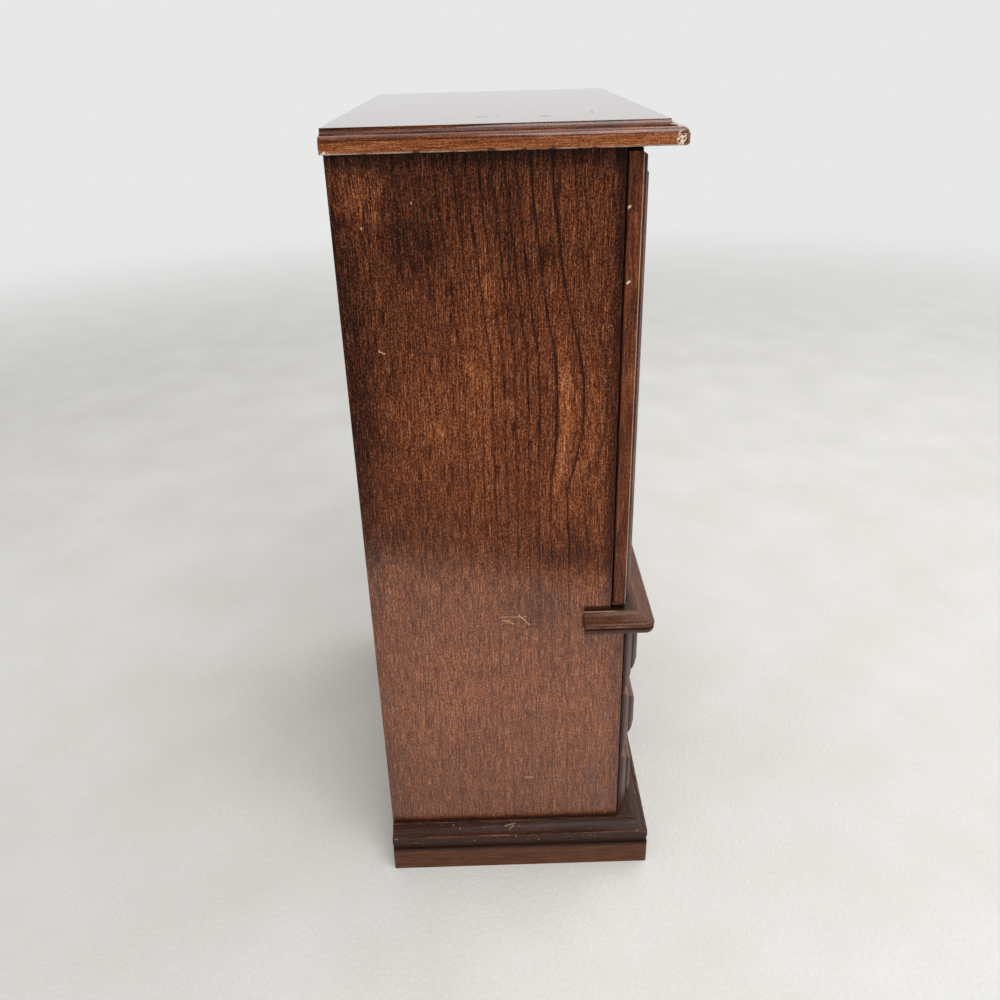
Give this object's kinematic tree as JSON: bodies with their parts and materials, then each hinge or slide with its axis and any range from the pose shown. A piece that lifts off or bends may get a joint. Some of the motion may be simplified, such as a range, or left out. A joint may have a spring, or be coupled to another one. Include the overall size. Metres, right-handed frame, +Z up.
{
  "type": "jewelry cabinet",
  "caption": "Tabletop jewelry cabinet with glazed doors over drawers, moulded top, waist shelf and plinth, and a turning necklace carousel inside.",
  "frame": {"origin": "centre of the bounding box at its base: on the floor plane, midway between the sides and midway between the back and the front of the drawer knobs", "axes": "+Z up, -Y out of the front with the doors and drawers, +X to the right seen from the front"},
  "size_m": [0.278, 0.1668, 0.4436],
  "materials": {
    "stained_wood": "satin reddish-brown stain",
    "plain_wood": "plain",
    "brass": "polished",
    "steel": "plated",
    "glass": "clear",
    "lining": "velvet",
    "catch": "matte"
  },
  "bodies": {
    "cabinet": {"plinth_front_rail": "stained_wood", "plinth_left_rail": "stained_wood", "plinth_right_rail": "stained_wood", "plinth_back_rail": "stained_wood", "plinth_glue_blocks": "plain_wood", "bottom_board": "stained_wood", "lower_drawer_divider": "stained_wood", "upper_drawer_divider": "stained_wood", "left_side_panel": "stained_wood", "right_side_panel": "stained_wood", "back_panel": "stained_wood", "waist_shelf": "stained_wood", "top_board": "stained_wood", "hinge_board_leaves": "brass", "door_catches": "catch", "compartment_floor_pad": "lining", "compartment_back_lining": "lining", "carousel_plate": "brass", "carousel_spindle": "brass"},
    "left_door": {"left_door_hinge_stile": "stained_wood", "left_door_meeting_stile": "stained_wood", "left_door_top_rail": "stained_wood", "left_door_bottom_rail": "stained_wood", "left_door_glass": "glass", "left_door_glazing_beads": "stained_wood", "left_door_hinge_leaves": "brass", "left_door_strike_plate": "steel", "left_door_knob": "brass"},
    "right_door": {"right_door_hinge_stile": "stained_wood", "right_door_meeting_stile": "stained_wood", "right_door_top_rail": "stained_wood", "right_door_bottom_rail": "stained_wood", "right_door_glass": "glass", "right_door_glazing_beads": "stained_wood", "right_door_hinge_leaves": "brass", "right_door_strike_plate": "steel", "right_door_knob": "brass"},
    "top_drawer": {"top_drawer_front": "stained_wood", "top_drawer_sides": "plain_wood", "top_drawer_back": "plain_wood", "top_drawer_bottom": "plain_wood", "top_drawer_lining": "lining", "top_drawer_knob": "brass", "top_drawer_partition": "plain_wood", "top_drawer_ring_rolls": "lining"},
    "middle_drawer": {"middle_drawer_front": "stained_wood", "middle_drawer_sides": "plain_wood", "middle_drawer_back": "plain_wood", "middle_drawer_bottom": "plain_wood", "middle_drawer_lining": "lining", "middle_drawer_knob": "brass", "middle_drawer_partitions": "plain_wood"},
    "bottom_drawer": {"bottom_drawer_front": "stained_wood", "bottom_drawer_sides": "plain_wood", "bottom_drawer_back": "plain_wood", "bottom_drawer_bottom": "plain_wood", "bottom_drawer_lining": "lining", "bottom_drawer_knob": "brass"},
    "carousel": {"carousel_disc": "stained_wood", "carousel_hooks": "brass"}
  },
  "joints": [
    {"name": "left_door_hinge", "type": "hinge", "parent": "cabinet", "child": "left_door", "pos_m": [-0.1247, -0.05575, 0.3107], "axis": [0, 0, -1], "range_deg": [0, 115]},
    {"name": "right_door_hinge", "type": "hinge", "parent": "cabinet", "child": "right_door", "pos_m": [0.1247, -0.05575, 0.3107], "axis": [0, 0, 1], "range_deg": [0, 115]},
    {"name": "top_drawer_slide", "type": "slide", "parent": "cabinet", "child": "top_drawer", "axis": [0, -1, 0], "range_m": [0, 0.095]},
    {"name": "middle_drawer_slide", "type": "slide", "parent": "cabinet", "child": "middle_drawer", "axis": [0, -1, 0], "range_m": [0, 0.095]},
    {"name": "bottom_drawer_slide", "type": "slide", "parent": "cabinet", "child": "bottom_drawer", "axis": [0, -1, 0], "range_m": [0, 0.095]},
    {"name": "carousel_turn", "type": "hinge", "parent": "cabinet", "child": "carousel", "pos_m": [0, 0.01635, 0.4268], "axis": [0, 0, 1], "continuous": true}
  ]
}
